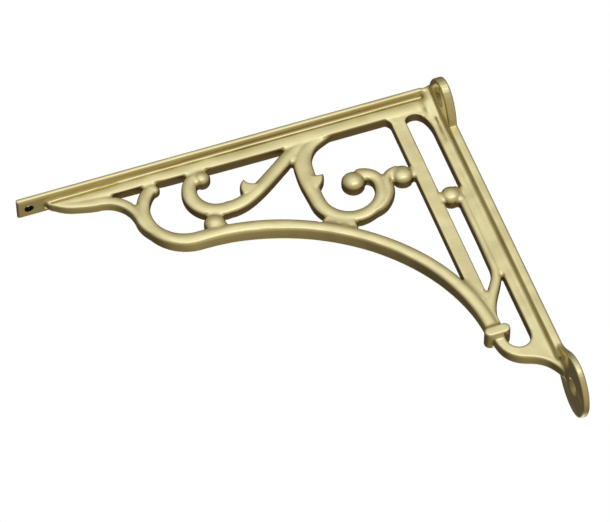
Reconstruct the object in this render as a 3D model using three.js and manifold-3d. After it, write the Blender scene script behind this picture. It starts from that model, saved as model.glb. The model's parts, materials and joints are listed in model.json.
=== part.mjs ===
// A cast brass shelf bracket: two T-section arms, an arched brace and open scrollwork, all one casting.
// It is drawn flat on the bench in millimetres: x runs out from the wall face, y drops from the shelf
// face, and z runs across the casting. The last lines stand it up against the wall.

import * as THREE from 'three';
import { mergeVertices } from 'three/addons/utils/BufferGeometryUtils.js';
import Module from 'manifold-3d';

const wasm = await Module();
wasm.setup();

// The two arms: a flange against the shelf or wall, a thin neck, and a rail
const ARM_LENGTH = 200;
const WALL_HEIGHT = 187;
const FLANGE_WIDTH = 11.4;
const SHELF_FLANGE = 3;
const WALL_FLANGE = 4.4;
const NECK_DEPTH = 3.4;
const SHELF_RAIL = { near: 4.7, far: 10.1, nose: 184.5, depth: 6.2, tipDepth: 4.8 };
const WALL_RAIL = { near: 4.9, far: 10.3, foot: 156, depth: 5.8 };

// The ears, and the screw holes through them
const UPPER_EAR = { drop: 13.7, reach: 20.4, halfHeight: 13.3, thickness: 4.4 };
const LOWER_EAR = { drop: 174, reach: 15.6, halfHeight: 13, thickness: 3.1, shoulder: 152 };
const SCREW = { hole: 4.8, head: 8.8, sink: 2 };
const UPPER_SCREW = { side: 11.6, drop: 14 };
const TIP_HOLE = { out: 194.5, diameter: 3.5 };

// The members of the web: centre, radius and width of each round stretch, and depth across the casting
const SCROLL_DEPTH = 6.2;
const ARCH = { out: 129, top: 45.7, near: 24.7, foot: 137, fullness: 0.535, widths: [5.9, 5.3], depth: 7.8 };
const LOOP = { out: 129, drop: 26.6, radius: 19, widths: [6, 5.6, 6.4], depth: 6.8 };
const OGEE = { out: 166, drop: 27.3, radius: 16, widths: [2.6, 4.6, 4.6], depth: 5.8 };
const HOOK = { out: 113, drop: 21.8, radius: 11.8, widths: [6.4, 6.8, 5.8, 5.6, 7.5] };
const COIL = { out: 58.2, drop: 42.9, radius: 14.5, widths: [6, 6.6, 5.8] };
const STRUT = { out: 23.7, width: 6.9, foot: 118, depth: 5.2 };
const TRUNK = { near: 20.8, far: 27.2, top: 112, foot: 142, depth: 6.6 };
const COLLAR = { near: 20.4, far: 26.9, drop: 137.6, radius: 2.7, depth: 9.8 };
const EYE = { out: 15.7, drop: 142, halfWidth: 5.5, halfHeight: 6 };

// Domed bosses, from the tip of the arm to the wall
const BOSSES = [
  { out: 140, drop: 12.2, radius: 2.8, depth: 5 },
  { out: 119.7, drop: 39.2, radius: 4.8, depth: 7.6, stretch: 1.2 },
  { out: 117.5, drop: 13.6, radius: 4.2, depth: 7 },
  { out: 54.4, drop: 38.2, radius: 5.5, depth: 7.8 },
  { out: 32.1, drop: 42, radius: 5.2, depth: 7.4 },
  { out: 15.7, drop: 60.2, radius: 5, depth: 7.4 },
];
const BOSS_SIDE = 0.3;

// How far edges are eased, and how far a piece is sunk into its neighbour
const CROWN = 1.1;
const EDGE = 0.5;
const BURIED = 0.4;

const QUARTER = Math.PI / 2;
const degrees = THREE.MathUtils.degToRad;

// Turn a closed geometry into a solid that can be joined and cut
function solid(geometry) {
  geometry.deleteAttribute('normal');
  geometry.deleteAttribute('uv');
  const merged = mergeVertices(geometry, 1e-4);
  return new wasm.Manifold(new wasm.Mesh({
    numProp: 3,
    vertProperties: new Float32Array(merged.attributes.position.array),
    triVerts: new Uint32Array(merged.index.array),
  }));
}

// Extrude an outline to a full depth, with its edges eased on both faces
function eased(shape, depth, ease, curveSegments = 8) {
  return new THREE.ExtrudeGeometry(shape, {
    depth: depth - 2 * ease,
    bevelEnabled: true,
    bevelThickness: ease,
    bevelSize: ease,
    bevelOffset: -ease,
    bevelSegments: 1,
    curveSegments,
  }).translate(0, 0, ease);
}

// A plate of the web, centred across the casting
function webPlate(shape, depth, ease = EDGE) {
  return solid(eased(shape, depth, ease).translate(0, 0, -depth / 2));
}

// Thin a geometry evenly across the casting, down to a share of its depth at the far end of its length
function tapered(geometry, length, share) {
  const places = geometry.attributes.position;
  for (let i = 0; i < places.count; i += 1) {
    const thinning = THREE.MathUtils.lerp(1, share, places.getX(i) / length);
    places.setZ(i, places.getZ(i) * thinning);
  }
  return geometry;
}

// A plate against the wall, drawn as (side, drop)
function wallPlate(shape, thickness) {
  return solid(eased(shape, thickness, EDGE, 11).rotateY(QUARTER));
}

// A plate under the shelf, drawn as (out, side)
function shelfPlate(shape, thickness) {
  return solid(eased(shape, thickness, EDGE).rotateX(QUARTER).translate(0, thickness, 0));
}

// A rectangle between two corners
function rectangle(left, top, right, bottom) {
  const shape = new THREE.Shape();
  shape.moveTo(left, top);
  shape.lineTo(right, top);
  shape.lineTo(right, bottom);
  shape.lineTo(left, bottom);
  return shape;
}

// The width a share t of the way along a member whose widths are given at even steps
function widthAt(widths, t) {
  const place = t * (widths.length - 1);
  const i = Math.min(Math.floor(place), widths.length - 2);
  return THREE.MathUtils.lerp(widths[i], widths[i + 1], place - i);
}

// A curved member of the web: a ribbon of changing width about its centre line
function member(path, widths, depth, steps) {
  const points = path.getSpacedPoints(steps);
  const left = [];
  const right = [];
  points.forEach((point, i) => {
    const before = points[Math.max(i - 1, 0)];
    const after = points[Math.min(i + 1, steps)];
    const along = after.clone().sub(before).normalize();
    const across = new THREE.Vector2(-along.y, along.x);
    const half = widthAt(widths, i / steps) / 2;
    left.push(point.clone().addScaledVector(across, half));
    right.unshift(point.clone().addScaledVector(across, -half));
  });
  return webPlate(new THREE.Shape([...left, ...right]), depth, CROWN);
}

// A boss with a dome on each face and a short straight side between them
function boss({ out, drop, radius, depth, stretch = 1 }) {
  const side = depth * BOSS_SIDE / 2;
  const dome = depth / 2 - side;
  const profile = new THREE.Path();
  profile.absellipse(0, -side, radius, dome, -QUARTER, 0);
  profile.absellipse(0, side, radius, dome, 0, QUARTER);
  const geometry = new THREE.LatheGeometry(profile.getPoints(3), 16).rotateX(QUARTER);
  return solid(geometry.scale(1, stretch, 1).translate(out, drop, 0));
}

// The shelf arm: flange, neck, and a rail that ends in a nose short of the tip
function shelfArm() {
  const half = FLANGE_WIDTH / 2;
  const { near, far, nose, depth, tipDepth } = SHELF_RAIL;
  const taper = nose - 14;
  const rail = new THREE.Shape();
  rail.moveTo(WALL_RAIL.near, near);
  rail.lineTo(taper, near);
  rail.quadraticCurveTo(nose - 3, near, nose, near + 1.8);
  rail.quadraticCurveTo(nose - 5, far - 0.6, taper, far);
  rail.lineTo(WALL_RAIL.near, far);
  return [
    shelfPlate(rectangle(BURIED, -half, ARM_LENGTH, half), SHELF_FLANGE),
    webPlate(rectangle(WALL_FLANGE - 1, SHELF_FLANGE - 1, nose - 4, near + 1), NECK_DEPTH),
    solid(tapered(eased(rail, depth, EDGE).translate(0, 0, -depth / 2), nose, tipDepth / depth)),
  ];
}

// The flange on the wall, which swells into an ear for two screws above and one screw below
function wallFlange() {
  const half = FLANGE_WIDTH / 2;
  const strip = rectangle(-half, BURIED, half, LOWER_EAR.shoulder + 8);

  const upperEar = new THREE.Shape();
  upperEar.absellipse(0, UPPER_EAR.drop, UPPER_EAR.reach, UPPER_EAR.halfHeight, 0, 4 * QUARTER);

  const { drop, reach, halfHeight, shoulder } = LOWER_EAR;
  const swell = drop - shoulder;
  const lowerEar = new THREE.Shape();
  lowerEar.moveTo(half - BURIED, shoulder);
  lowerEar.bezierCurveTo(half, drop - swell * 0.6, reach, drop - swell * 0.5, reach, drop);
  lowerEar.absellipse(0, drop, reach, halfHeight, 0, 2 * QUARTER);
  lowerEar.bezierCurveTo(-reach, drop - swell * 0.5, -half, drop - swell * 0.6, BURIED - half, shoulder);

  return [
    wallPlate(strip, WALL_FLANGE),
    wallPlate(upperEar, UPPER_EAR.thickness),
    wallPlate(lowerEar, LOWER_EAR.thickness),
  ];
}

// The neck and rail down the wall, and the solid corner between the two arms
function wallArm() {
  const top = FLANGE_WIDTH / 2 - 0.5;
  const foot = NECK_DEPTH / 2 + 0.7;
  const height = 18;
  const corner = new THREE.Shape();
  corner.moveTo(-top, 1);
  corner.lineTo(top, 1);
  corner.bezierCurveTo(top - 0.3, height * 0.45, foot, height * 0.55, foot, height);
  corner.lineTo(-foot, height);
  corner.bezierCurveTo(-foot, height * 0.55, 0.3 - top, height * 0.45, -top, 1);
  const { near, far, depth } = WALL_RAIL;
  return [
    wallPlate(corner, far - 2),
    webPlate(rectangle(WALL_FLANGE - 1, SHELF_FLANGE - 1, near + 1, WALL_RAIL.foot), NECK_DEPTH),
    webPlate(rectangle(near, SHELF_RAIL.near + 1, far, WALL_RAIL.foot), depth),
  ];
}

// The arched brace, a quarter oval from the loop under the shelf to the collar by the wall
function arch() {
  const { out, top, near, foot, fullness, widths, depth } = ARCH;
  const path = new THREE.Path();
  path.moveTo(out, top);
  path.bezierCurveTo(
    THREE.MathUtils.lerp(out, near, fullness), top,
    near, THREE.MathUtils.lerp(foot, top, fullness),
    near, foot);
  return [member(path, widths, depth, 30)];
}

// The loop near the tip, and the ogee that runs from the rail's nose into its underside
function outerLoop() {
  const loop = new THREE.Path();
  loop.absarc(LOOP.out, LOOP.drop, LOOP.radius, degrees(-58), degrees(98));
  const ogee = new THREE.Path();
  ogee.moveTo(SHELF_RAIL.nose + 4, SHELF_FLANGE);
  ogee.bezierCurveTo(182, 8.6, 173, 10.7, OGEE.out, OGEE.drop - OGEE.radius);
  ogee.absarc(OGEE.out, OGEE.drop, OGEE.radius, degrees(-90), degrees(-180), true);
  ogee.lineTo(LOOP.out + LOOP.radius, LOOP.drop + 6);
  return [
    member(loop, LOOP.widths, LOOP.depth, 20),
    member(ogee, OGEE.widths, OGEE.depth, 20),
  ];
}

// The scroll that hooks under the shelf rail, with a leaf bud on the tail that climbs to mid arm
function hookScroll() {
  const path = new THREE.Path();
  path.absarc(HOOK.out, HOOK.drop, HOOK.radius, degrees(-66), degrees(100));
  path.bezierCurveTo(101.2, 34.4, 90, 24, 73, 12.4);
  path.lineTo(67, 8.4);
  const bud = new THREE.Shape();
  bud.moveTo(103.2, 30);
  bud.quadraticCurveTo(105, 23, 99.6, 20.6);
  bud.quadraticCurveTo(100.2, 24.6, 93.4, 25.4);
  bud.lineTo(97, 30);
  return [
    member(path, HOOK.widths, SCROLL_DEPTH, 30),
    webPlate(bud, SCROLL_DEPTH - 1),
  ];
}

// The large volute beside the strut, its stem and leaf bud, and the pad on which it sits
function volute() {
  const stem = new THREE.Path();
  stem.moveTo(50, 7.6);
  stem.bezierCurveTo(61.6, 8.2, 70, 12.8, 71.8, 20.6);
  stem.bezierCurveTo(72.6, 24, 73, 34, 72.6, 42);
  const coil = new THREE.Path();
  coil.absarc(COIL.out, COIL.drop, COIL.radius, degrees(-14), degrees(180));
  coil.bezierCurveTo(43.7, 37.6, 47.3, 34.4, 53, 34.9);
  const bud = new THREE.Shape();
  bud.moveTo(71.4, 27.8);
  bud.quadraticCurveTo(69.2, 30.4, 65.2, 29.7);
  bud.quadraticCurveTo(65.6, 34.8, 71.4, 38.2);
  bud.lineTo(74, 34);
  const pad = new THREE.Shape();
  pad.moveTo(76, 56.4);
  pad.lineTo(70.6, 50.6);
  pad.lineTo(60.4, 57.6);
  pad.lineTo(61, 65);
  return [
    member(stem, [4.5, 6.8, 8.4, 8, 5.8], SCROLL_DEPTH - 0.1, 18),
    member(coil, COIL.widths, SCROLL_DEPTH + 0.1, 28),
    webPlate(bud, SCROLL_DEPTH - 1),
    webPlate(pad, SCROLL_DEPTH - 0.4),
  ];
}

// The small curl that ties the volute to the strut
function link() {
  const path = new THREE.Path();
  path.moveTo(43.4, 53.4);
  path.bezierCurveTo(39.4, 48.6, 41, 38.2, 33, 37.9);
  return [member(path, [5.6, 4.2, 4], SCROLL_DEPTH - 0.2, 14)];
}

// The upright strut, with the rounded heads of the openings on either side of it
function strut() {
  const near = STRUT.out - STRUT.width / 2;
  const far = STRUT.out + STRUT.width / 2;
  const top = SHELF_RAIL.near + 2;
  const head = SHELF_RAIL.far + 1.8;
  const slotHead = new THREE.Shape();
  slotHead.moveTo(WALL_RAIL.near + 2, top);
  slotHead.lineTo(near + 2, top);
  slotHead.lineTo(near + 2, head + 4);
  slotHead.lineTo(near + 0.4, head + 4);
  slotHead.quadraticCurveTo(near, head, near - 4, head);
  slotHead.bezierCurveTo(near - 8, head, WALL_RAIL.far, head + 5, WALL_RAIL.far - 0.4, head + 11);
  slotHead.lineTo(WALL_RAIL.near + 2, head + 11);
  const cornerFill = new THREE.Shape();
  cornerFill.moveTo(far - 3, top);
  cornerFill.lineTo(far + 5.5, top);
  cornerFill.lineTo(far + 4.5, SHELF_RAIL.far - 0.2);
  cornerFill.quadraticCurveTo(far + 0.4, SHELF_RAIL.far, far - 0.3, SHELF_RAIL.far + 4.5);
  cornerFill.lineTo(far - 3, SHELF_RAIL.far + 4.5);
  return [
    webPlate(rectangle(near, top, far, STRUT.foot), STRUT.depth),
    webPlate(slotHead, STRUT.depth + 0.1),
    webPlate(cornerFill, STRUT.depth + 0.2),
  ];
}

// The stem beside the wall rail, and the fork where it joins the strut
function slotStem() {
  const path = new THREE.Path();
  path.moveTo(13, BOSSES.at(-1).drop);
  path.lineTo(11.9, 68);
  path.lineTo(11.9, 102);
  path.bezierCurveTo(11.6, 113, 21.4, 116, 24, 132);
  return [member(path, [4.2, 4.2, 4.8, 6.4], SCROLL_DEPTH - 0.6, 20)];
}

// The foot: a collar round the gathered stems, and the tail that curls in to the wall
function foot() {
  const { near, far, drop, radius } = COLLAR;
  const collar = new THREE.Shape();
  collar.absarc(far, drop, radius, -QUARTER, QUARTER);
  collar.absarc(near, drop, radius, QUARTER, 3 * QUARTER);
  const tail = new THREE.Shape();
  tail.moveTo(26.6, drop);
  tail.bezierCurveTo(26.6, 147.2, 23.2, 152, 16.2, 154.6);
  tail.bezierCurveTo(11, 156.5, 8, 158.8, 4.5, 164.4);
  tail.lineTo(LOWER_EAR.thickness - 1, 164.4);
  tail.lineTo(LOWER_EAR.thickness - 1, 140);
  tail.lineTo(EYE.out - EYE.halfWidth, 140);
  tail.absellipse(EYE.out, EYE.drop, EYE.halfWidth, EYE.halfHeight, 2 * QUARTER, 0, true);
  tail.lineTo(EYE.out + EYE.halfWidth, drop);
  return [
    webPlate(rectangle(TRUNK.near, TRUNK.top, TRUNK.far, TRUNK.foot), TRUNK.depth),
    webPlate(collar, COLLAR.depth, CROWN),
    webPlate(tail, SCROLL_DEPTH - 0.3, 0.8),
  ];
}

// A countersunk screw hole through an ear, as a solid to cut away
function screwHole(side, drop, thickness) {
  const profile = [
    new THREE.Vector2(0, -1),
    new THREE.Vector2(SCREW.hole / 2, -1),
    new THREE.Vector2(SCREW.hole / 2, thickness - SCREW.sink),
    new THREE.Vector2(SCREW.head / 2, thickness),
    new THREE.Vector2(SCREW.head / 2, thickness + 1),
    new THREE.Vector2(0, thickness + 1),
  ];
  return solid(new THREE.LatheGeometry(profile, 20).rotateZ(-QUARTER).translate(0, drop, side));
}

// The plain hole through the shelf flange near its tip
function tipHole() {
  const radius = TIP_HOLE.diameter / 2;
  const drill = new THREE.CylinderGeometry(radius, radius, 4 * SHELF_FLANGE, 20);
  return solid(drill.translate(TIP_HOLE.out, 0, 0));
}

// The whole casting as one closed surface on the bench
function casting() {
  const members = [
    ...shelfArm(), ...wallFlange(), ...wallArm(), ...arch(), ...outerLoop(), ...hookScroll(),
    ...volute(), ...link(), ...strut(), ...slotStem(), ...foot(), ...BOSSES.map(boss),
  ];
  const holes = [
    screwHole(UPPER_SCREW.side, UPPER_SCREW.drop, UPPER_EAR.thickness),
    screwHole(-UPPER_SCREW.side, UPPER_SCREW.drop, UPPER_EAR.thickness),
    screwHole(0, LOWER_EAR.drop, LOWER_EAR.thickness),
    tipHole(),
  ];
  const joined = members.reduce((whole, next) => whole.add(next));
  const drilled = holes.reduce((whole, hole) => whole.subtract(hole), joined);
  const { vertProperties, triVerts } = drilled.getMesh();
  const geometry = new THREE.BufferGeometry();
  geometry.setAttribute('position', new THREE.BufferAttribute(vertProperties, 3));
  geometry.setIndex(new THREE.BufferAttribute(triVerts, 1));
  geometry.computeVertexNormals();
  return geometry;
}

const brass = new THREE.MeshStandardMaterial({ color: 0xcdbf86, roughness: 0.3, metalness: 1 });

// Stand the casting up with its wall face on x = 0 and the middle of that face at the origin
const bracket = new THREE.Mesh(casting(), brass);
bracket.name = 'bracket';
bracket.rotation.set(QUARTER, Math.PI, 0, 'YXZ');
bracket.position.z = WALL_HEIGHT / 2;

const part = new THREE.Group();
part.add(bracket);

export default part;
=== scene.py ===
# A polished cast brass shelf bracket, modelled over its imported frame.
# Shapes are drawn in millimetres on the bench: "out" runs from the wall face towards the tip of the arm,
# "drop" runs down from the shelf face, and "side" runs across the casting.

import json
import math
import bpy
import numpy as np
from mathutils import Matrix, Quaternion, Vector
from mathutils.bvhtree import BVHTree

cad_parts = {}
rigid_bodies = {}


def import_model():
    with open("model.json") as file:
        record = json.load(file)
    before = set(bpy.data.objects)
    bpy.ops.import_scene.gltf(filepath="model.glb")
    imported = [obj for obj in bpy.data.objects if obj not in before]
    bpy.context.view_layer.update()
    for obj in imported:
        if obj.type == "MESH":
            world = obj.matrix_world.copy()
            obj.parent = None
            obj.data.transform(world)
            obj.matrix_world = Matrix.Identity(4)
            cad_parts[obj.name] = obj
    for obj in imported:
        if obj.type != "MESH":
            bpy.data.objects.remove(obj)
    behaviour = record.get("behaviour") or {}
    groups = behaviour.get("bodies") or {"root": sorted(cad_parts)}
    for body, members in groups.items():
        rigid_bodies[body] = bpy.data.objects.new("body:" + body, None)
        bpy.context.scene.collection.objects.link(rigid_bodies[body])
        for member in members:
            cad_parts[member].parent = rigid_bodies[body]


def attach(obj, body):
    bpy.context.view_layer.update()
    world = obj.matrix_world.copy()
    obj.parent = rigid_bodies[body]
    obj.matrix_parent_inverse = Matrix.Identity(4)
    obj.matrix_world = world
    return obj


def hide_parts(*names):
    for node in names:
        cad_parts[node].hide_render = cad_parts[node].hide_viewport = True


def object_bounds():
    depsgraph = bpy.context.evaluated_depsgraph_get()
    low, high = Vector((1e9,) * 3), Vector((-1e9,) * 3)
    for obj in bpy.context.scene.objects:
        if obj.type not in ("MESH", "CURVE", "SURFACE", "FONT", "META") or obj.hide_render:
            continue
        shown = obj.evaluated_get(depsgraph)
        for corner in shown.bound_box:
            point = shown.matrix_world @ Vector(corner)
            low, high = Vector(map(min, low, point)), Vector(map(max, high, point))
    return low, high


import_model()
CAD_LOW, CAD_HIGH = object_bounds()

bl_info = {
    "name": "Brass Shelf Bracket",
    "version": (1, 0, 0),
    "blender": (4, 5, 0),
    "location": "View3D > Sidebar > Bracket",
    "description": "Models a polished cast brass shelf bracket with open scrollwork, and its studio",
    "category": "Add Mesh",
}

MM = 0.001
ARM_LENGTH = (CAD_HIGH.x - CAD_LOW.x) / MM
SHELF_TOP = CAD_HIGH.z / MM
PATTERN = "pattern"

# Steps round a drilled hole or a button
ROUND_STEPS = 40
# The casting is thinned to this many triangles
MOST_TRIANGLES = 190000

# Shapes of the members, as (out, drop) places and sizes in millimetres. Neighbours run into each other
# by a millimetre or more: uprights start inside the shelf rail, and the necks reach into both rails.
RAIL_NOSE = 184.5
RAIL_INSIDE = 6.7
NECK_REACH = 6.4
WALL_RAIL_OUT = 7.3
WALL_RAIL_WIDTH = 5.6
WALL_RAIL_FOOT = 156.0
CORNER_REACH = 8.0
ARCH_START = (129.0, 45.3)
ARCH_FOOT = (24.7, 137.0)
ARCH_FULLNESS = 0.53
LOOP_CENTRE = (129.0, 26.6)
LOOP_RADIUS = 19.0
OGEE_CENTRE = (166.0, 27.3)
OGEE_RADIUS = 16.0
HOOK_CENTRE = (113.0, 21.8)
HOOK_RADIUS = 12.3
HOOK_RISE = 11.8
COIL_CENTRE = (57.9, 42.8)
COIL_RADIUS = 14.8
COIL_RISE = 14.4
STRUT_OUT = 23.7
SLOT_HEAD_DROP = 11.9
COLLAR_OUT = (20.4, 26.9)
COLLAR_DROP = 137.6
COLLAR_RADIUS = 2.7
COLLAR_DEPTH = 9.8
EYE_CENTRE = (15.7, 142.0)
EYE_RADIUS = 5.5
EYE_RISE = 6.0
TAIL_DEPTH = 5.8
TIP_HOLE_OUT = 194.5

# Ears: an oval above, and below a round one that swells from the strip at its shoulder
UPPER_EAR_DROP = 13.7
UPPER_EAR_REACH = 20.4
UPPER_EAR_RISE = 13.3
UPPER_EAR_THICKNESS = 4.4
UPPER_SCREW_SIDE = 11.6
UPPER_SCREW_DROP = 14.0
LOWER_EAR_DROP = 174.0
LOWER_EAR_REACH = 15.6
LOWER_EAR_RISE = 13.0
LOWER_EAR_THICKNESS = 3.1
LOWER_EAR_SHOULDER = 152.0
COUNTERSINK_DEPTH = 2.0

# Leaf buds: the start, pull, tip, pull and end of their two curves, and a root inside the scroll
HOOK_BUD = ((102.8, 30.0), (104.6, 23.2), (99.6, 20.6), (100.0, 24.4), (92.6, 25.2))
HOOK_BUD_ROOT = (96.0, 30.0)
COIL_BUD = ((71.4, 27.8), (69.2, 30.4), (65.2, 29.6), (65.6, 34.8), (71.4, 38.2))
COIL_BUD_ROOT = (74.0, 34.0)

# Domed buttons: place, radius and depth across the casting, and the dome's share of that depth
BOSSES = (
    ((139.6, 12.4), 3.0, 5.4),
    ((119.7, 39.6), 5.0, 7.6),
    ((117.5, 13.6), 4.2, 7.2),
    ((54.1, 38.2), 5.4, 8.2),
    ((32.1, 42.0), 5.2, 7.8),
    ((15.7, 60.2), 5.0, 7.8),
)
DOME_SHARE = 0.34


class BracketSizes(bpy.types.PropertyGroup):
    """Sizes of the casting that a maker would change"""

    flange_width: bpy.props.FloatProperty(
        name="Flange Width", description="Width of both flanges across the casting",
        default=11.4 * MM, unit="LENGTH")
    shelf_flange: bpy.props.FloatProperty(
        name="Shelf Flange", description="Thickness of the flange under the shelf",
        default=3.0 * MM, unit="LENGTH")
    wall_flange: bpy.props.FloatProperty(
        name="Wall Flange", description="Thickness of the flange on the wall",
        default=4.4 * MM, unit="LENGTH")
    neck_depth: bpy.props.FloatProperty(
        name="Neck Depth", description="Depth across the casting between flange and rail",
        default=3.4 * MM, unit="LENGTH")
    rail_depth: bpy.props.FloatProperty(
        name="Rail Depth", description="Depth of the rails across the casting",
        default=6.2 * MM, unit="LENGTH")
    scroll_depth: bpy.props.FloatProperty(
        name="Scroll Depth", description="Depth of the scrolls across the casting",
        default=6.2 * MM, unit="LENGTH")
    arch_depth: bpy.props.FloatProperty(
        name="Arch Depth", description="Depth of the arched brace across the casting",
        default=8.3 * MM, unit="LENGTH")
    strut_width: bpy.props.FloatProperty(
        name="Strut Width", description="Width of the upright strut",
        default=6.9 * MM, unit="LENGTH")
    strut_depth: bpy.props.FloatProperty(
        name="Strut Depth", description="Depth of the strut across the casting",
        default=5.2 * MM, unit="LENGTH")
    screw_hole: bpy.props.FloatProperty(
        name="Screw Hole", description="Diameter of the holes through the ears",
        default=4.8 * MM, unit="LENGTH")
    screw_head: bpy.props.FloatProperty(
        name="Screw Head", description="Diameter of the countersinks in the ears",
        default=8.8 * MM, unit="LENGTH")
    tip_hole: bpy.props.FloatProperty(
        name="Tip Hole", description="Diameter of the hole near the tip of the arm",
        default=3.5 * MM, unit="LENGTH")
    grain: bpy.props.FloatProperty(
        name="Casting Grain", description="Finest step that the mould keeps",
        default=0.42 * MM, unit="LENGTH")
    polishing: bpy.props.IntProperty(
        name="Polishing", description="Passes that ease the edges of the casting",
        default=4, min=0)
    fillet_passes: bpy.props.IntProperty(
        name="Fillet Passes", description="Passes that fill the creases between members",
        default=40, min=0)


class BracketColours(bpy.types.PropertyGroup):
    """Colours of the metal, of the shade painted on it, and of the studio, as hex values"""

    brass: bpy.props.StringProperty(
        name="Brass", description="Polished brass", default="E9E0AC")
    deep_brass: bpy.props.StringProperty(
        name="Deep Brass", description="Brass where the lacquer lies thicker", default="E2D59C")
    # Painted shade: this darker colour is laid on grooves, inner corners and walls that face another member
    recess_shade: bpy.props.StringProperty(
        name="Recess", description="Duller metal in corners that polish doesn't reach",
        default="A08D64")
    # Painted shade: a dark colour laid inside the hole near the tip and on its rim
    bore_shade: bpy.props.StringProperty(
        name="Bore", description="Dark metal inside the hole near the tip", default="2A241C")
    paper: bpy.props.StringProperty(
        name="Backdrop", description="White paper behind the bracket", default="FFFFFF")
    floor: bpy.props.StringProperty(
        name="Floor", description="Pale paper on the floor", default="F4F3EF")


def millimetres(size):
    return size / MM


def linear(hex_colour):
    """An sRGB hex value as linear red, green, blue and alpha."""
    channels = [int(hex_colour[i:i + 2], 16) / 255 for i in (0, 2, 4)]
    curve = [c / 12.92 if c <= 0.04045 else ((c + 0.055) / 1.055) ** 2.4 for c in channels]
    return (*curve, 1.0)


# Drawing on the bench

def lerp(a, b, t):
    return a + (b - a) * t


def arc(centre, radius, start, end, steps=24, rise=None):
    """Points round a circle, or round an oval with its own rise, between two angles in degrees."""
    rise = radius if rise is None else rise
    angles = [math.radians(lerp(start, end, i / steps)) for i in range(steps + 1)]
    return [(centre[0] + radius * math.cos(a), centre[1] + rise * math.sin(a)) for a in angles]


def bezier(start, pull_start, pull_end, end, steps=14):
    """Points along a cubic curve."""
    points = []
    for i in range(steps + 1):
        t = i / steps
        weights = ((1 - t) ** 3, 3 * t * (1 - t) ** 2, 3 * t * t * (1 - t), t ** 3)
        corners = (start, pull_start, pull_end, end)
        points.append(tuple(sum(w * c[k] for w, c in zip(weights, corners)) for k in (0, 1)))
    return points


def sweep(start, pull, end, steps=10):
    """Points along a curve with a single pull."""
    first = tuple(lerp(start[k], pull[k], 2 / 3) for k in (0, 1))
    second = tuple(lerp(end[k], pull[k], 2 / 3) for k in (0, 1))
    return bezier(start, first, second, end, steps)


def rectangle(left, top, right, bottom):
    return [(left, top), (right, top), (right, bottom), (left, bottom)]


def even_steps(path, count):
    """The same path, with its points spread evenly along it."""
    kept = [path[0]]
    for point in path[1:]:
        if math.dist(point, kept[-1]) > 1e-6:
            kept.append(point)
    reached = [0.0]
    for before, after in zip(kept, kept[1:]):
        reached.append(reached[-1] + math.dist(before, after))
    points = []
    piece = 0
    for i in range(count + 1):
        goal = reached[-1] * i / count
        while piece < len(kept) - 2 and reached[piece + 1] < goal:
            piece += 1
        t = (goal - reached[piece]) / (reached[piece + 1] - reached[piece])
        points.append(Vector((lerp(kept[piece][0], kept[piece + 1][0], t),
                              lerp(kept[piece][1], kept[piece + 1][1], t))))
    return points


def width_at(widths, t):
    """The width a share t of the way along, eased between widths given at even steps."""
    place = t * (len(widths) - 1)
    i = min(int(place), len(widths) - 2)
    share = place - i
    return lerp(widths[i], widths[i + 1], share * share * (3 - 2 * share))


# Making solids from the drawings

def settle(pattern):
    """Close a new pattern piece, turn its faces outwards and lay its place down in its mesh."""
    bpy.ops.object.transform_apply(location=True, rotation=True, scale=True)
    bpy.ops.object.mode_set(mode="EDIT")
    bpy.ops.mesh.select_all(action="SELECT")
    bpy.ops.mesh.remove_doubles(threshold=0.002 * MM)
    bpy.ops.mesh.normals_make_consistent(inside=False)
    bpy.ops.object.mode_set(mode="OBJECT")
    pattern.name = PATTERN
    return pattern


# How a drawing stands: over the web, against the wall as (side, drop), or under the shelf as (out, side)
STAND = {
    "web": Matrix(((-1, 0, 0), (0, 0, 1), (0, -1, 0))),
    "wall": Matrix(((0, 0, -1), (1, 0, 0), (0, -1, 0))),
    "shelf": Matrix(((-1, 0, 0), (0, 1, 0), (0, 0, -1))),
}


def stand_up(pattern, face, depth):
    """Move a drawn plate from the bench to its face of the bracket."""
    place = {
        "web": Vector((0, 0, SHELF_TOP)),
        "wall": Vector((-depth / 2, 0, SHELF_TOP)),
        "shelf": Vector((0, 0, SHELF_TOP - depth / 2)),
    }[face]
    stretch = Matrix.Diagonal((1, 1, pattern.scale.z))
    pattern.scale = (1, 1, 1)
    pattern.data.transform(Matrix.Translation(place * MM) @ (STAND[face] @ stretch).to_4x4())
    return settle(pattern)


def plate(outline, depth, ease, crown=None, face="web"):
    """A plate of a drawn outline, with edges eased over a width and to a depth."""
    crown = ease if crown is None else crown
    bpy.ops.object.select_all(action="DESELECT")
    bpy.ops.curve.primitive_bezier_curve_add(location=(0, 0, 0))
    pattern = bpy.context.object
    drawing = pattern.data
    drawing.splines.clear()
    line = drawing.splines.new("POLY")
    line.points.add(len(outline) - 1)
    for point, (x, y) in zip(line.points, outline):
        point.co = (x * MM, y * MM, 0, 1)
    line.use_cyclic_u = True
    drawing.dimensions = "2D"
    drawing.fill_mode = "BOTH"
    drawing.bevel_depth = ease * MM
    drawing.bevel_resolution = 3
    drawing.offset = -ease * MM
    drawing.extrude = (depth / 2 - crown) * ease / crown * MM
    bpy.ops.object.convert(target="MESH")
    pattern = bpy.context.object
    pattern.scale.z = crown / ease
    return stand_up(pattern, face, depth)


# Ends of a member: how much its faces fall there, and the least square of its width's share
END_FALL = 0.5
END_LEAST = 0.0025


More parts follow.
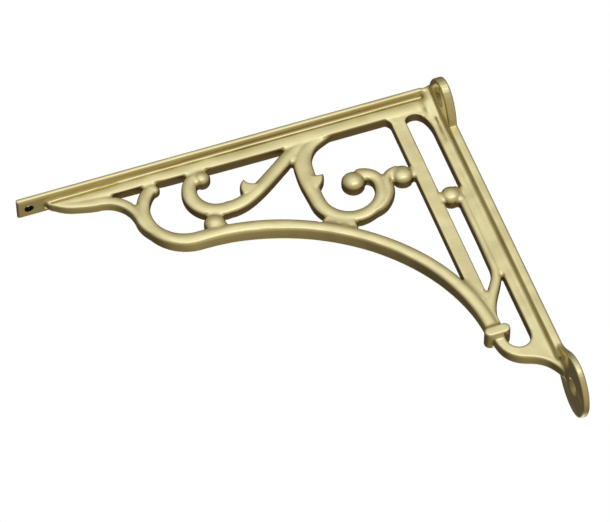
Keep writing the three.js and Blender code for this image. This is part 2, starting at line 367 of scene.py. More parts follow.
def member(path, widths, depths, crown, stations=70, facets=28):
    """A curved member: a grid rolled round its centre line, with crowned faces and round ends."""
    crowns = crown if isinstance(crown, tuple) else (crown, crown)
    points = even_steps(path, stations)
    length = sum((after - before).length for before, after in zip(points, points[1:]))
    bpy.ops.object.select_all(action="DESELECT")
    bpy.ops.mesh.primitive_grid_add(x_subdivisions=stations, y_subdivisions=facets, size=1)
    pattern = bpy.context.object
    places = []
    for row in range(facets + 1):
        turn = 2 * math.pi * (row % facets) / facets
        across_share = math.cos(turn)
        up_share = math.sin(turn) if abs(math.sin(turn)) > 1e-6 else 0.0
        for i, point in enumerate(points):
            along = (points[min(i + 1, stations)] - points[max(i - 1, 0)]).normalized()
            across = Vector((-along.y, along.x))
            half = width_at(widths, i / stations) / 2
            from_end = min(i, stations - i) / stations * length
            full = 1 - min(from_end / half, 1)
            half *= math.sqrt(max(1 - full * full, END_LEAST))
            rise = width_at(crowns, i / stations)
            side = width_at(depths, i / stations) / 2 - rise - END_FALL * full * full
            lift = math.copysign(side, up_share) if up_share else 0.0
            spot = point + across * half * across_share
            places.extend((spot.x * MM, spot.y * MM, (lift + rise * up_share) * MM))
    pattern.data.vertices.foreach_set("co", places)
    stand_up(pattern, "web", 0)
    bpy.ops.object.mode_set(mode="EDIT")
    bpy.ops.mesh.select_all(action="DESELECT")
    bpy.ops.mesh.select_non_manifold()
    bpy.ops.mesh.edge_face_add()
    bpy.ops.mesh.select_all(action="SELECT")
    bpy.ops.mesh.normals_make_consistent(inside=False)
    bpy.ops.object.mode_set(mode="OBJECT")
    return pattern


def boss(place, radius, depth, dome):
    """A button with a dome on each face and a straight side."""
    bpy.ops.object.select_all(action="DESELECT")
    bpy.ops.mesh.primitive_uv_sphere_add(segments=ROUND_STEPS, ring_count=24, radius=radius * MM)
    pattern = bpy.context.object
    side = (depth / 2 - dome) * MM
    for vertex in pattern.data.vertices:
        rise = vertex.co.z * dome / radius
        vertex.co.z = rise + math.copysign(side, rise) if abs(rise) > 0.001 * MM else 0.0
    pattern.data.transform(Matrix.Translation((place[0] * MM, place[1] * MM, 0)))
    return stand_up(pattern, "web", depth)


def leaf_bud(points, root, depth):
    """A leaf bud whose two curves meet in its tip, closed by a root inside its scroll."""
    start, first_pull, tip, second_pull, end = points
    outline = sweep(start, first_pull, tip) + sweep(tip, second_pull, end)[1:]
    plate(outline + [root], depth, ease=1.1, crown=1.9)


def cut(pattern, cutter):
    """Take a cutter out of a pattern piece."""
    bpy.ops.object.select_all(action="DESELECT")
    bpy.context.view_layer.objects.active = pattern
    pattern.select_set(True)
    bpy.ops.object.modifier_add(type="BOOLEAN")
    hole = pattern.modifiers[-1]
    hole.operation = "DIFFERENCE"
    hole.solver = "EXACT"
    hole.object = cutter
    bpy.ops.object.modifier_apply(modifier=hole.name)
    bpy.data.objects.remove(cutter)


def screw_hole(pattern, side, drop, thickness, sizes):
    """Drill and countersink a screw hole through an ear."""
    sink = COUNTERSINK_DEPTH
    head = millimetres(sizes.screw_head) / 2
    hole = millimetres(sizes.screw_hole) / 2
    bpy.ops.object.select_all(action="DESELECT")
    bpy.ops.mesh.primitive_cylinder_add(
        vertices=ROUND_STEPS, radius=hole * MM, depth=4 * thickness * MM)
    drill = bpy.context.object
    drill.data.transform(Matrix.Rotation(math.pi / 2, 4, "Y"))
    drill.data.transform(Matrix.Translation(Vector((0, side, SHELF_TOP - drop)) * MM))
    cut(pattern, drill)
    # The sinker stands one millimetre proud of the ear, so it widens by one more step of its slope
    slope = (head - hole) / sink
    bpy.ops.object.select_all(action="DESELECT")
    bpy.ops.mesh.primitive_cone_add(
        vertices=ROUND_STEPS, radius1=hole * MM, radius2=(head + slope) * MM, depth=(sink + 1) * MM)
    sinker = bpy.context.object
    sinker.data.transform(Matrix.Rotation(-math.pi / 2, 4, "Y"))
    middle = Vector((-(thickness - sink) - (sink + 1) / 2, side, SHELF_TOP - drop))
    sinker.data.transform(Matrix.Translation(middle * MM))
    cut(pattern, sinker)


class BRACKET_OT_shelf_arm(bpy.types.Operator):
    """Shape the arm under the shelf: flange, neck and rail, with the hole near the tip"""

    bl_idname = "bracket.shelf_arm"
    bl_label = "Shelf Arm"

    def execute(self, context):
        sizes = context.scene.bracket_sizes
        half = millimetres(sizes.flange_width) / 2
        thickness = millimetres(sizes.shelf_flange)
        flange = plate(rectangle(0, -half, ARM_LENGTH, half), thickness, ease=1.2, face="shelf")
        bpy.ops.object.select_all(action="DESELECT")
        bpy.ops.mesh.primitive_cylinder_add(
            vertices=ROUND_STEPS, radius=sizes.tip_hole / 2, depth=4 * sizes.shelf_flange)
        drill = bpy.context.object
        drill.data.transform(Matrix.Translation(Vector((-TIP_HOLE_OUT, 0, SHELF_TOP)) * MM))
        cut(flange, drill)
        neck = millimetres(sizes.neck_depth)
        plate(rectangle(2, thickness - 1, RAIL_NOSE - 6, NECK_REACH), neck, ease=0.3)
        # The neck runs on to the rail's nose in a round end
        member([(150, 4.4), (RAIL_NOSE + 1, 4.2)], (4.4, 4.4), (neck, neck), crown=0.3)
        depth = millimetres(sizes.rail_depth)
        rail = [(5, 7.7), (100, 7.7), (150, 7.2), (174, 7.0), (186, 5.6)]
        widths = (6, 6, 6, 6, 6, 5.8, 5.4, 5.0, 5.0, 2)
        depths = (depth, depth, depth, 0.78 * depth)
        member(rail, widths, depths, crown=0.45, stations=120)
        # The rail's upper edge runs off into the neck in a slope
        slope = [(out, drop - 1.6) for out, drop in rail]
        member(slope, widths, [size - 0.35 for size in depths], crown=1.4, stations=120)
        return {"FINISHED"}


class BRACKET_OT_wall_arm(bpy.types.Operator):
    """Shape the arm on the wall: flange, ears with their screw holes, neck, rail and corner"""

    bl_idname = "bracket.wall_arm"
    bl_label = "Wall Arm"

    def execute(self, context):
        sizes = context.scene.bracket_sizes
        half = millimetres(sizes.flange_width) / 2
        thickness = millimetres(sizes.wall_flange)
        strip = rectangle(-half, 0, half, LOWER_EAR_DROP - LOWER_EAR_RISE)
        plate(strip, thickness, ease=0.9, face="wall")
        oval = arc((0, UPPER_EAR_DROP), UPPER_EAR_REACH, 0, 351, 39, rise=UPPER_EAR_RISE)
        upper = plate(oval, UPPER_EAR_THICKNESS, ease=0.7, face="wall")
        for side in (-UPPER_SCREW_SIDE, UPPER_SCREW_SIDE):
            screw_hole(upper, side, UPPER_SCREW_DROP, UPPER_EAR_THICKNESS, sizes)

        reach = LOWER_EAR_REACH
        swell = LOWER_EAR_DROP - LOWER_EAR_SHOULDER
        right = bezier((half - 0.4, LOWER_EAR_SHOULDER), (half, LOWER_EAR_DROP - swell * 0.6),
                       (reach, LOWER_EAR_DROP - swell * 0.5), (reach, LOWER_EAR_DROP))
        outline = right + arc((0, LOWER_EAR_DROP), reach, 0, 180, 30, rise=LOWER_EAR_RISE)[1:]
        outline += [(-side, drop) for side, drop in reversed(right)][1:]
        lower = plate(outline, LOWER_EAR_THICKNESS, ease=0.6, face="wall")
        screw_hole(lower, 0, LOWER_EAR_DROP, LOWER_EAR_THICKNESS, sizes)

        # The neck is a little thinner here than under the shelf
        neck = millimetres(sizes.neck_depth) - 1
        plate(rectangle(2, 2, NECK_REACH, WALL_RAIL_FOOT + 6), neck, ease=0.3)
        # The wall rail is deeper at its head, where it runs into the corner
        depth = millimetres(sizes.rail_depth) - 0.4
        depths = (9.6, 5.9) + (depth,) * 11
        rail = [(WALL_RAIL_OUT, 5.2), (WALL_RAIL_OUT, WALL_RAIL_FOOT + 1)]
        member(rail, (WALL_RAIL_WIDTH, WALL_RAIL_WIDTH), depths, crown=0.4, stations=150)
        corner = bezier((half - 0.5, 1), (half - 0.8, 8), (2.4, 9.5), (2.4, 18))
        corner += [(-side, drop) for side, drop in reversed(corner)]
        plate(corner, CORNER_REACH, ease=1.2, face="wall")
        return {"FINISHED"}


class BRACKET_OT_brace(bpy.types.Operator):
    """Shape the arched brace, the outer loop, and the ogee that joins it to the rail's nose"""

    bl_idname = "bracket.brace"
    bl_label = "Arched Brace"

    def execute(self, context):
        depth = millimetres(context.scene.bracket_sizes.arch_depth)
        pull_start = (lerp(ARCH_START[0], ARCH_FOOT[0], ARCH_FULLNESS), ARCH_START[1] - 0.7)
        pull_end = (ARCH_FOOT[0], lerp(ARCH_FOOT[1], ARCH_START[1], ARCH_FULLNESS))
        path = arc(LOOP_CENTRE, LOOP_RADIUS, -62, 90, 60, rise=ARCH_START[1] - LOOP_CENTRE[1])
        path += bezier(ARCH_START, pull_start, pull_end, ARCH_FOOT, 80)[1:]
        widths = (6.2, 6.4, 6.8, 6.5, 6.1, 6, 6.1, 6.3, 6)
        depths = (depth - 2.6, depth - 0.8, depth, depth, depth - 1.2)
        member(path, widths, depths, crown=(1.2, 1.3, 1.25, 1.2, 1.1), stations=160)
        ogee = bezier((187, 3.4), (182, 8.2), (173, 10.3), (166, 11.1), 30)
        ogee += arc(OGEE_CENTRE, OGEE_RADIUS, -90, -180, 40, rise=OGEE_RADIUS + 0.2)[1:]
        ogee += bezier(ogee[-1], (149.6, 31.4), (147.6, 36), (143.6, 38.8))[1:]
        widths = (1.6, 4, 4.8, 4.8, 4.8, 3.6)
        depths = (4.4, 5, 5.2, 5.6, 6.4, 6.6)
        member(ogee, widths, depths, crown=(0.3, 0.4, 0.8, 1.1), stations=110)
        return {"FINISHED"}


class BRACKET_OT_scrolls(bpy.types.Operator):
    """Shape the hook and the volute with their leaf buds, and the curl that ties the volute to the strut"""

    bl_idname = "bracket.scrolls"
    bl_label = "Scrolls"

    def execute(self, context):
        depth = millimetres(context.scene.bracket_sizes.scroll_depth)
        hook = arc(HOOK_CENTRE, HOOK_RADIUS, -66, 100, 50, rise=HOOK_RISE)
        hook += bezier(hook[-1], (101.2, 34.5), (90, 24.2), (73, 12.5), 40)[1:] + [(66, 8)]
        widths = (6.6, 7.5, 6.9, 6.8, 7.8)
        depths = (depth, depth, depth, depth - 0.6)
        member(hook, widths, depths, crown=1.4, stations=120)
        leaf_bud(HOOK_BUD, HOOK_BUD_ROOT, depth - 0.2)

        stem = bezier((50, 7.6), (61.6, 8.2), (70, 12.8), (71.9, 20.6), 30)
        stem += bezier((71.9, 20.6), (72.8, 24), (73.2, 34), (72.8, 42), 30)[1:]
        stem += arc(COIL_CENTRE, COIL_RADIUS, -3, 180, 60, rise=COIL_RISE)[1:]
        stem += bezier(stem[-1], (43.2, 37.8), (47.4, 35.1), (53, 35.7), 30)[1:]
        widths = (4.5, 6.9, 8.7, 8.5, 7.1, 7.0, 6.6, 6.2, 6.2, 7.4)
        depths = (depth - 0.8, depth, depth)
        member(stem, widths, depths, crown=(1.1, 1.4, 1.4), stations=170)
        leaf_bud(COIL_BUD, COIL_BUD_ROOT, depth - 0.2)
        # A foot under the volute stands on the arch
        plate([(76, 56.4), (70.6, 50.6), (60.4, 57.6), (61, 65)], depth - 0.4, ease=0.8)

        link = bezier((52, 57.4), (45.4, 55.8), (40.6, 50.4), (40.3, 45), 30)
        link += bezier(link[-1], (40, 40.8), (37.6, 38.3), (32, 38), 20)[1:]
        member(link, (3.5, 5.6, 6, 5, 4.2), (depth, depth), crown=2.1)
        return {"FINISHED"}


class BRACKET_OT_strut(bpy.types.Operator):
    """Shape the upright strut, the stem beside the wall rail, the collar and the tail"""

    bl_idname = "bracket.strut"
    bl_label = "Strut and Collar"

    def execute(self, context):
        sizes = context.scene.bracket_sizes
        depth = millimetres(sizes.strut_depth)
        near = STRUT_OUT - millimetres(sizes.strut_width) / 2
        far = STRUT_OUT + millimetres(sizes.strut_width) / 2
        plate(rectangle(near, RAIL_INSIDE, far, COLLAR_DROP), depth, ease=0.5)
        # The slot beside the wall rail has a round head, and the strut's far side a small fillet
        head = SLOT_HEAD_DROP
        outline = [(7, RAIL_INSIDE), (near + 2, RAIL_INSIDE), (near + 2, head + 4)]
        outline += sweep((near + 0.4, head + 4), (near, head), (near - 4, head))
        outline += bezier((near - 4, head), (near - 8, head), (10.5, head + 5), (10.05, head + 11))[1:]
        plate(outline + [(7, head + 11)], depth + 0.1, ease=0.5)
        outline = [(far - 3, RAIL_INSIDE), (far + 5.5, RAIL_INSIDE)]
        outline += sweep((far + 4.5, 9.9), (far + 0.4, 10.1), (far - 0.3, 14.6))
        plate(outline + [(far - 3, 14.6)], depth + 0.2, ease=0.5)

        stem = [(12.6, 56), (11.7, 66), (11.7, 102)]
        stem += bezier((11.7, 102), (11.4, 113), (21.4, 116), (24, 132), 30)[1:]
        member(stem, (4.2, 4.2, 4.8, 6.4), (5.6, 5.6), crown=1.2)
        member([(22.6, 106), (24, 142)], (4, 5.6, 6.4), (4.6, 5.8, 6.4), crown=1.2)
        collar = arc((COLLAR_OUT[1], COLLAR_DROP), COLLAR_RADIUS, -90, 90, 16)
        collar += arc((COLLAR_OUT[0], COLLAR_DROP), COLLAR_RADIUS, 90, 270, 16)
        plate(collar, COLLAR_DEPTH, ease=0.8)
        tail = bezier((26.6, COLLAR_DROP), (26.6, 147.2), (23.2, 152), (16.2, 154.6))
        tail += bezier((16.2, 154.6), (11, 156.5), (7.4, 158.6), (4.2, 166.4))[1:]
        tail += [(2, 168.5), (2, 159), (4.9, 155), (5.4, 140)]
        tail += arc(EYE_CENTRE, EYE_RADIUS, 180, 0, 24, rise=EYE_RISE)
        tail += [(EYE_CENTRE[0] + EYE_RADIUS, COLLAR_DROP)]
        plate(tail, TAIL_DEPTH, ease=0.9, crown=0.8)
        return {"FINISHED"}


class BRACKET_OT_bosses(bpy.types.Operator):
    """Shape the domed buttons where the stems meet"""

    bl_idname = "bracket.bosses"
    bl_label = "Buttons"

    def execute(self, context):
        for place, radius, depth in BOSSES:
            boss(place, radius, depth, DOME_SHARE * depth)
        # A short stalk ties the button under the hook to the arch
        member([(120, 37), (118.6, 47)], (7, 9.6, 11), (7, 7), crown=1.9, stations=30)
        return {"FINISHED"}


def add_node(tree, kind, settings=None):
    """Add a node, then set its values and link its sockets, each by its name or its number."""
    node = tree.nodes.new(kind)
    for name, value in (settings or {}).items():
        if isinstance(name, str) and name not in node.inputs:
            setattr(node, name, value)
        elif isinstance(value, bpy.types.NodeSocket):
            tree.links.new(value, node.inputs[name])
        else:
            node.inputs[name].default_value = value
    return node


# Numbers of the sockets of a Mix node, which has several of each name
MIX_SHARE = 0
MIX_COLOURS = (6, 7)
MIX_NUMBERS = (2, 3)
MIXED_COLOUR = 2
MIXED_NUMBER = 0

# Patterns of the brass: how wide their clouds are and how high they stand, in millimetres
TONE_WIDTH = 22.0
WAVE_WIDTH = 26.0
WAVE_HEIGHT = 1.7
MARK_WIDTH = 1.5
MARK_HEIGHT = 0.05
# Roughness of the polished faces, between two ends, and of the skin that the mould left
POLISHED = (0.14, 0.22)
UNPOLISHED = 0.5
# Shares of blocked rays at which a hollow starts to take painted shade and a rougher skin, and at which it
# takes them fully
SHADED_HOLLOW = (0.28, 0.58)


def cast_brass(colours):
    """Polished cast brass: a pale warm metal, slightly wavy from the mould, with soft polishing marks, and
    with shade painted into its hollows, onto walls that face other members and inside the hole near the
    tip.
    """
    material = bpy.data.materials.new("polished_cast_brass")
    material.use_nodes = True
    tree = material.node_tree
    tree.nodes.clear()
    place = add_node(tree, "ShaderNodeTexCoord").outputs["Object"]

    # Lacquer lies in thicker and thinner clouds, which shift the brass a little in tone
    clouds = add_node(tree, "ShaderNodeTexNoise", {
        "Vector": place, "Scale": 1 / (TONE_WIDTH * MM), "Detail": 3.0})
    tone = add_node(tree, "ShaderNodeMix", {
        "data_type": "RGBA", MIX_SHARE: clouds.outputs["Fac"],
        MIX_COLOURS[0]: linear(colours.brass), MIX_COLOURS[1]: linear(colours.deep_brass)})

    # Grooves and inner walls take the rougher skin of the mould and a darker colour as painted shade, and
    # the hole near the tip is painted dark as shade
    skin_shade = add_node(tree, "ShaderNodeAttribute", {"attribute_name": "mould_skin"})
    hollow = add_node(tree, "ShaderNodeAttribute", {"attribute_name": "hollow"})
    hollow_shade = add_node(tree, "ShaderNodeMapRange", {
        "Value": hollow.outputs["Fac"], "From Min": SHADED_HOLLOW[0], "From Max": SHADED_HOLLOW[1]})
    dull_and_shade = add_node(tree, "ShaderNodeMath", {
        "operation": "MAXIMUM", 0: skin_shade.outputs["Fac"], 1: hollow_shade.outputs["Result"]})
    metal = add_node(tree, "ShaderNodeMix", {
        "data_type": "RGBA", MIX_SHARE: dull_and_shade.outputs["Value"],
        MIX_COLOURS[0]: tone.outputs[MIXED_COLOUR], MIX_COLOURS[1]: linear(colours.recess_shade)})
    # Painted shade: the hole near the tip and its rim take the dark bore colour
    drilled = add_node(tree, "ShaderNodeAttribute", {"attribute_name": "drilled"})
    bore_shaded = add_node(tree, "ShaderNodeMix", {
        "data_type": "RGBA", MIX_SHARE: drilled.outputs["Fac"],
        MIX_COLOURS[0]: metal.outputs[MIXED_COLOUR], MIX_COLOURS[1]: linear(colours.bore_shade)})

    # Marks of the polishing wheel cloud the shine; real ones are too fine to show, so they are drawn wider
    marks = add_node(tree, "ShaderNodeTexNoise", {
        "Vector": place, "Scale": 1 / (MARK_WIDTH * MM), "Detail": 2.0})
    shine = add_node(tree, "ShaderNodeMapRange", {
        "Value": marks.outputs["Fac"], "To Min": POLISHED[0], "To Max": POLISHED[1]})
    gloss = add_node(tree, "ShaderNodeMix", {
        MIX_SHARE: dull_and_shade.outputs["Value"],
        MIX_NUMBERS[0]: shine.outputs["Result"], MIX_NUMBERS[1]: UNPOLISHED})

    # Hand polishing leaves the faces in slow waves, and its marks stand on them as a fine grain
    waves = add_node(tree, "ShaderNodeTexNoise", {
        "Vector": place, "Scale": 1 / (WAVE_WIDTH * MM), "Detail": 2.0})
    swell = add_node(tree, "ShaderNodeBump", {
        "Strength": 1.0, "Distance": WAVE_HEIGHT * MM, "Height": waves.outputs["Fac"]})
    grain = add_node(tree, "ShaderNodeBump", {
        "Strength": 0.5, "Distance": MARK_HEIGHT * MM, "Height": marks.outputs["Fac"],
        "Normal": swell.outputs["Normal"]})
    shader = add_node(tree, "ShaderNodeBsdfPrincipled", {
        "Metallic": 1.0, "Base Color": bore_shaded.outputs[MIXED_COLOUR],
        "Roughness": gloss.outputs[MIXED_NUMBER], "Normal": grain.outputs["Normal"]})
    add_node(tree, "ShaderNodeOutputMaterial", {"Surface": shader.outputs["BSDF"]})
    return material


def floor_paper(colours):
    """Pale matt paper: soft and even to the eye, with no shine."""
    material = bpy.data.materials.new("pale_floor_paper")
    material.use_nodes = True
    tree = material.node_tree
    tree.nodes.clear()
    shader = add_node(tree, "ShaderNodeBsdfPrincipled", {
        "Base Color": linear(colours.floor), "Roughness": 0.9})
    add_node(tree, "ShaderNodeOutputMaterial", {"Surface": shader.outputs["BSDF"]})
    return material


def edge_ends(mesh):
    """The two vertex numbers of every edge."""
    ends = np.empty(len(mesh.edges) * 2, dtype=np.int64)
    mesh.edges.foreach_get("vertices", ends)
    return ends[0::2], ends[1::2]


def vertex_values(mesh, name):
    """A vector of every vertex, as rows."""
    values = np.empty(len(mesh.vertices) * 3)
    mesh.vertices.foreach_get(name, values)
    return values.reshape(-1, 3)


# A crease bends by more than this share of the mould's grain, and its fillet takes in some rings round it
CREASE_BEND = 0.35
CREASE_RINGS = 3


def fillet(casting, passes):
    """Fill the creases between members, as the round tool of a mould maker does."""
    mesh = casting.data
    first, second = edge_ends(mesh)
    places = vertex_values(mesh, "co")
    normals = vertex_values(mesh, "normal")
    reach = places[second] - places[first]
    count = len(mesh.vertices)
    lift = np.bincount(first, (reach * normals[first]).sum(axis=1), count)
    lift -= np.bincount(second, (reach * normals[second]).sum(axis=1), count)
    crease = lift > CREASE_BEND * bpy.context.scene.bracket_sizes.grain
    mesh.vertices.foreach_set("select", crease)
    bpy.ops.object.mode_set(mode="EDIT")
    bpy.ops.mesh.select_mode(type="VERT")
    for ring in range(CREASE_RINGS):
        bpy.ops.mesh.select_more()
    bpy.ops.mesh.vertices_smooth(factor=0.5, repeat=passes)
    bpy.ops.object.mode_set(mode="OBJECT")


# The corner that is blended lies between these limits, and runs on a little along the shelf rail
CORNER_OUT = (5.2, 8.6)
CORNER_SIDE = 1.6
CORNER_DROP = 17.0
CORNER_RAIL_OUT = 13.0
CORNER_RAIL_DROP = (4.9, 11.0)
CORNER_PASSES = 60


def soften_corner(casting):
    """Blend the corner between the arms, where the flange turns down into the wall rail."""
    mesh = casting.data
    x, side, z = (vertex_values(mesh, "co") / MM).T
    out = -x
    drop = SHELF_TOP - z
    by_rail = (out < CORNER_RAIL_OUT) & (drop > CORNER_RAIL_DROP[0]) & (drop < CORNER_RAIL_DROP[1])
    inside = (out > CORNER_OUT[0]) & (np.abs(side) > CORNER_SIDE) & (drop < CORNER_DROP)
    inside &= (out < CORNER_OUT[1]) | by_rail
    bpy.ops.object.mode_set(mode="EDIT")
    bpy.ops.mesh.select_all(action="DESELECT")
    bpy.ops.object.mode_set(mode="OBJECT")
    mesh.vertices.foreach_set("select", inside)
    bpy.ops.object.mode_set(mode="EDIT")
    bpy.ops.mesh.vertices_smooth(factor=0.5, repeat=CORNER_PASSES)
    bpy.ops.object.mode_set(mode="OBJECT")


def spread_marks(mesh, marks, steps):
    """Blur marks over neighbouring vertices."""
    first, second = edge_ends(mesh)
    count = len(marks)
    joined = np.bincount(first, minlength=count) + np.bincount(second, minlength=count)
    for step in range(steps):
        around = np.bincount(first, marks[second], count) + np.bincount(second, marks[first], count)
        marks = 0.5 * marks + 0.5 * around / joined
    return marks


# Rays that look for hollows and for facing walls: their start off the surface and their reach
# in millimetres, and their tilts and steps of turn in degrees
HOLLOW_START = 0.3
HOLLOW_REACH = 5.0
HOLLOW_TILTS = (25, 55)
HOLLOW_TURN = 60
WALL_START = 0.4
WALL_REACH = 90.0
# A wall starts to count as steep at this share of its normal in the plane of the web, and counts fully
# a step above it
WALL_STEEP = 0.6
WALL_STEEP_OVER = 0.35


def mark_hollows(casting):
    """Mark grooves and inner corners, by the share of short rays that meet the casting again, for painted
    shade and a rougher skin there.
    """
    mesh = casting.data
    tree = BVHTree.FromObject(casting, bpy.context.evaluated_depsgraph_get())
    marks = np.zeros(len(mesh.vertices))
    fan = [(math.radians(tilt), math.radians(turn))
           for tilt in HOLLOW_TILTS for turn in range(0, 360, HOLLOW_TURN)]
    for vertex in mesh.vertices:
        normal = vertex.normal
        across = normal.orthogonal().normalized()
        along = normal.cross(across)
        start = vertex.co + normal * HOLLOW_START * MM
        for tilt, turn in fan:
            way = across * math.cos(turn) + along * math.sin(turn)
            way = normal * math.cos(tilt) + way * math.sin(tilt)
            if tree.ray_cast(start, way, HOLLOW_REACH * MM)[0]:
                marks[vertex.index] += 1 / len(fan)
    hollow = mesh.attributes.new("hollow", "FLOAT", "POINT")
    hollow.data.foreach_set("value", spread_marks(mesh, marks, 2))


def mark_skin_and_shade(casting):
    """Mark the walls that face another member, where a polishing wheel can't reach and where shade is
    painted darker.
    """
    mesh = casting.data
    marks = np.zeros(len(mesh.vertices))
    for vertex in mesh.vertices:
        sideways = Vector((vertex.normal.x, 0, vertex.normal.z))
        steep = min(max((sideways.length - WALL_STEEP) / WALL_STEEP_OVER, 0), 1)
        if steep > 0:
            start = vertex.co + vertex.normal * WALL_START * MM
            hit = casting.ray_cast(start, sideways.normalized(), distance=WALL_REACH * MM)[0]
            marks[vertex.index] = steep if hit else 0
    skin_shade = mesh.attributes.new("mould_skin", "FLOAT", "POINT")
    skin_shade.data.foreach_set("value", spread_marks(mesh, marks, 3))


def mark_drilled(casting, sizes):
    """Mark the hole near the tip and its rim, where the hole's shade is painted dark."""
    mesh = casting.data
    x, side, z = (vertex_values(mesh, "co") / MM).T
    rim = millimetres(sizes.tip_hole) / 2 + 0.4
    marks = np.hypot(x + TIP_HOLE_OUT, side) < rim
    drilled = mesh.attributes.new("drilled", "FLOAT", "POINT")
    drilled.data.foreach_set("value", marks.astype(float))


class BRACKET_OT_casting(bpy.types.Operator):
    """Join the pattern pieces into one casting, ease its edges and polish it"""

    bl_idname = "bracket.casting"
    bl_label = "Casting"

    def execute(self, context):
        sizes = context.scene.bracket_sizes
        pieces = [o for o in context.scene.objects if o.name.startswith(PATTERN)]
        if not pieces:
            raise RuntimeError("There are no pattern pieces to cast")
        bpy.ops.object.select_all(action="DESELECT")
        for piece in pieces:
            piece.select_set(True)
        context.view_layer.objects.active = pieces[0]
        bpy.ops.object.join()
        casting = context.object
        casting.name = "cast_brass_bracket"
        casting.data.materials.clear()

        bpy.ops.object.modifier_add(type="REMESH")
        mould = casting.modifiers[-1]
        mould.mode = "VOXEL"
        mould.voxel_size = sizes.grain
        bpy.ops.object.modifier_apply(modifier=mould.name)
        fillet(casting, sizes.fillet_passes)
        soften_corner(casting)
        bpy.ops.object.modifier_add(type="SMOOTH")
        polish = casting.modifiers[-1]
        polish.factor = 0.5
        polish.iterations = sizes.polishing
        bpy.ops.object.modifier_apply(modifier=polish.name)
        casting.data.calc_loop_triangles()
        share = MOST_TRIANGLES / len(casting.data.loop_triangles)
        if share < 1:
            bpy.ops.object.modifier_add(type="DECIMATE")
            thin = casting.modifiers[-1]
            thin.ratio = share
            bpy.ops.object.modifier_apply(modifier=thin.name)
        bpy.ops.object.shade_smooth()
        # Marks where shade is painted: hollows, walls that face another member, and the hole near the tip
        mark_hollows(casting)
        mark_skin_and_shade(casting)
        mark_drilled(casting, sizes)
        casting.data.materials.append(cast_brass(context.scene.bracket_colours))
        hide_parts("bracket")
        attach(casting, "root")
        return {"FINISHED"}


# The studio: the view from which the bracket is seen, and soft light around it
VIEW_FROM = Vector((-433.6, -1411.3, -972.1)) * MM
VIEW_TO = Vector((-88.7, 0.0, 22.0)) * MM
VIEW_ROLL = math.radians(-23.8)
SENSOR = 36.0
PICTURE_WIDTH = 610
FOCAL_PIXELS = 4000
LENS = SENSOR * FOCAL_PIXELS / PICTURE_WIDTH
FLOOR_DROP = 1.25
FLOOR_SIZE = 12
# Light round the studio: the way to each light, and its colours from behind that way round to it,
# as shares of the turn and hex values
LIGHT_STRENGTH = 1.28
FRONT_WAY = Vector((0.1, -0.97, 0.22))
FLOOR_WAY = Vector((0.14, 0.25, -0.96))
BACK_WAY = Vector((0, 0.98, 0.1))
FRONT_LIGHT = (
    (0.0, "403A30"), (0.07, "443E34"), (0.25, "554E44"), (0.5, "736D62"), (0.71, "8F8A81"),
    (0.82, "A09C95"), (0.91, "BAB7B2"), (0.96, "D6D6D6"), (0.992, "EDEEF3"), (1.0, "F3F5FD"),
)
FLOOR_LIGHT = ((0.55, "000000"), (0.84, "665F51"), (1.0, "857D6D"))
BACK_LIGHT = ((0.94, "000000"), (0.975, "8C877D"), (1.0, "F0F0F0"))
# A softbox in front, and a wide light overhead
SOFTBOX_PLACE = Vector((0.2, -2.18, 0.1))
SOFTBOX_SIZE = (1.5, 0.42)
SOFTBOX_BRIGHTNESS = 0.45
OVERHEAD_PLACE = Vector((0, 0, 2.6))
OVERHEAD_SIZE = 6
OVERHEAD_BRIGHTNESS = 1.4


def glow(tree, way, centre, bands):
    """Light from one side of the studio: bands of colour from behind a direction round to it."""
    facing = add_node(tree, "ShaderNodeVectorMath", {
        "operation": "DOT_PRODUCT", 0: way, 1: centre.normalized()})
    share = add_node(tree, "ShaderNodeMapRange", {
        "Value": facing.outputs["Value"], "From Min": -1.0, "From Max": 1.0})
    shade = add_node(tree, "ShaderNodeValToRGB", {"Fac": share.outputs["Result"]})
    steps = shade.color_ramp.elements
    for step, (position, colour) in zip((steps[0], steps[1]), (bands[0], bands[-1])):
        step.position = position
        step.color = linear(colour)
    for position, colour in bands[1:-1]:
        step = steps.new(position)
        step.color = linear(colour)
    return shade.outputs["Color"]


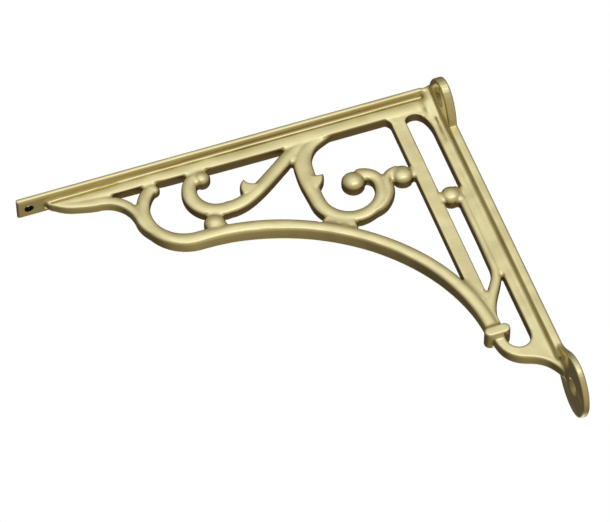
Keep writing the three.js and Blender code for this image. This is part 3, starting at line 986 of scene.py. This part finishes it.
class BRACKET_OT_stage(bpy.types.Operator):
    """Set up the floor, the soft studio light and the camera"""

    bl_idname = "bracket.stage"
    bl_label = "Studio"

    def execute(self, context):
        scene = context.scene
        colours = scene.bracket_colours
        scene.view_settings.view_transform = "Standard"

        bpy.ops.object.select_all(action="DESELECT")
        bpy.ops.object.camera_add(location=VIEW_FROM)
        camera = context.object
        aim = (VIEW_TO - VIEW_FROM).to_track_quat("-Z", "Y")
        camera.rotation_mode = "QUATERNION"
        camera.rotation_quaternion = aim @ Quaternion((0, 0, 1), VIEW_ROLL)
        camera.data.lens = LENS
        camera.data.sensor_width = SENSOR
        camera.data.clip_start = 0.01
        scene.camera = camera

        world = bpy.data.worlds.new("studio")
        world.use_nodes = True
        scene.world = world
        tree = world.node_tree
        tree.nodes.clear()
        way = add_node(tree, "ShaderNodeTexCoord").outputs["Generated"]
        total = glow(tree, way, FRONT_WAY, FRONT_LIGHT)
        for centre, bands in ((FLOOR_WAY, FLOOR_LIGHT), (BACK_WAY, BACK_LIGHT)):
            both = add_node(tree, "ShaderNodeMix", {
                "data_type": "RGBA", "blend_type": "ADD", MIX_SHARE: 1.0,
                MIX_COLOURS[0]: total, MIX_COLOURS[1]: glow(tree, way, centre, bands)})
            total = both.outputs[MIXED_COLOUR]
        light = add_node(tree, "ShaderNodeBackground", {"Color": total, "Strength": LIGHT_STRENGTH})
        # The camera sees plain paper behind the bracket, and the brass is lit by the studio
        paper = add_node(tree, "ShaderNodeBackground", {
            "Color": linear(colours.paper), "Strength": 1.0})
        seen = add_node(tree, "ShaderNodeLightPath")
        mix = add_node(tree, "ShaderNodeMixShader", {
            0: seen.outputs["Is Camera Ray"], 1: light.outputs["Background"],
            2: paper.outputs["Background"]})
        add_node(tree, "ShaderNodeOutputWorld", {"Surface": mix.outputs["Shader"]})

        bpy.ops.object.light_add(type="AREA", location=SOFTBOX_PLACE)
        softbox = context.object
        softbox.rotation_euler = (VIEW_TO - SOFTBOX_PLACE).to_track_quat("-Z", "Y").to_euler()
        softbox.data.shape = "RECTANGLE"
        softbox.data.size, softbox.data.size_y = SOFTBOX_SIZE
        softbox.data.energy = SOFTBOX_BRIGHTNESS * math.pi * SOFTBOX_SIZE[0] * SOFTBOX_SIZE[1]
        softbox.visible_camera = False
        # The overhead light keeps the floor pale; the brass doesn't show it
        bpy.ops.object.light_add(type="AREA", location=OVERHEAD_PLACE)
        overhead = context.object
        overhead.data.size = OVERHEAD_SIZE
        overhead.data.energy = OVERHEAD_BRIGHTNESS * math.pi * OVERHEAD_SIZE * OVERHEAD_SIZE
        overhead.visible_camera = False
        overhead.visible_glossy = False

        bpy.ops.object.select_all(action="DESELECT")
        bpy.ops.mesh.primitive_plane_add(size=FLOOR_SIZE, location=(0, 0, -FLOOR_DROP))
        floor = context.object
        floor.name = "floor"
        floor.data.materials.append(floor_paper(colours))
        floor.visible_glossy = False
        return {"FINISHED"}


MAKERS = (
    BRACKET_OT_shelf_arm,
    BRACKET_OT_wall_arm,
    BRACKET_OT_brace,
    BRACKET_OT_scrolls,
    BRACKET_OT_strut,
    BRACKET_OT_bosses,
    BRACKET_OT_casting,
    BRACKET_OT_stage,
)


class BRACKET_PT_panel(bpy.types.Panel):
    """Lists the steps that make the bracket, with its sizes and colours"""

    bl_idname = "BRACKET_PT_panel"
    bl_label = "Shelf Bracket"
    bl_space_type = "VIEW_3D"
    bl_region_type = "UI"
    bl_category = "Bracket"

    def draw(self, context):
        layout = self.layout
        for maker in MAKERS:
            layout.operator(maker.bl_idname)
        for group in (context.scene.bracket_sizes, context.scene.bracket_colours):
            box = layout.box()
            for name in group.__annotations__:
                box.prop(group, name)


CLASSES = (BracketSizes, BracketColours, *MAKERS, BRACKET_PT_panel)


def register():
    for cls in CLASSES:
        bpy.utils.register_class(cls)
    bpy.types.Scene.bracket_sizes = bpy.props.PointerProperty(type=BracketSizes)
    bpy.types.Scene.bracket_colours = bpy.props.PointerProperty(type=BracketColours)


def unregister():
    del bpy.types.Scene.bracket_colours
    del bpy.types.Scene.bracket_sizes
    for cls in reversed(CLASSES):
        bpy.utils.unregister_class(cls)


def main():
    register()
    bpy.ops.bracket.shelf_arm()
    bpy.ops.bracket.wall_arm()
    bpy.ops.bracket.brace()
    bpy.ops.bracket.scrolls()
    bpy.ops.bracket.strut()
    bpy.ops.bracket.bosses()
    bpy.ops.bracket.casting()
    bpy.ops.bracket.stage()


if __name__ == "__main__":
    main()
